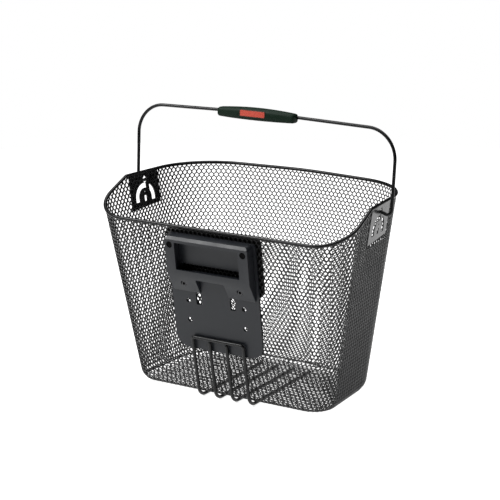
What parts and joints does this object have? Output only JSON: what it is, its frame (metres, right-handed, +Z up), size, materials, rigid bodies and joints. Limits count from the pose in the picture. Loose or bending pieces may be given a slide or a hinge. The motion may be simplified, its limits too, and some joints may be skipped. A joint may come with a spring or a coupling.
{
  "type": "handlebar basket",
  "caption": "Tapered expanded-metal bicycle basket with a wire rim, a folding wire handle with a moulded grip, wire skids and a click-on adapter on its rear wall.",
  "frame": {"origin": "middle of the underside of the whole basket, where its wire skids rest", "axes": "+Z up, +X across the bicycle to the rider's right, +Y forwards, so the adapter faces -Y"},
  "size_m": [0.3474, 0.225, 0.3322],
  "materials": {
    "painted_mesh": "semi-gloss black powder coat on expanded steel",
    "painted_wire": "gloss black powder coat on steel wire",
    "painted_plate": "semi-gloss black powder coat on steel sheet",
    "grey_plastic": "fine-grained dark grey moulding",
    "black_plastic": "matt black moulding",
    "grip_plastic": "satin green-black moulding",
    "red_inlay": "glossy red plate without lettering",
    "rubber": "matt black rubber",
    "screw_steel": "blackened steel"
  },
  "bodies": {
    "basket": {"basket_wall": "painted_mesh", "basket_floor": "painted_mesh", "rim_wire": "painted_wire", "skid_frame_wire": "painted_wire", "skid_wire_left": "painted_wire", "skid_wire_right": "painted_wire", "side_plate_left": "painted_plate", "side_plate_right": "painted_plate", "adapter_base_plate": "grey_plastic", "adapter_housing": "grey_plastic", "counter_plate": "black_plastic", "housing_screw_left": "screw_steel", "housing_screw_right": "screw_steel", "rubber_buffer_left": "rubber", "rubber_buffer_right": "rubber"},
    "handle": {"handle_wire": "painted_wire", "handle_grip": "grip_plastic", "grip_inlay": "red_inlay"}
  },
  "joints": [
    {"name": "handle_swing", "type": "hinge", "parent": "basket", "child": "handle", "pos_m": [0, 0.00179, 0.23185], "axis": [1, 0, 0], "range_deg": [-73, 100]}
  ]
}
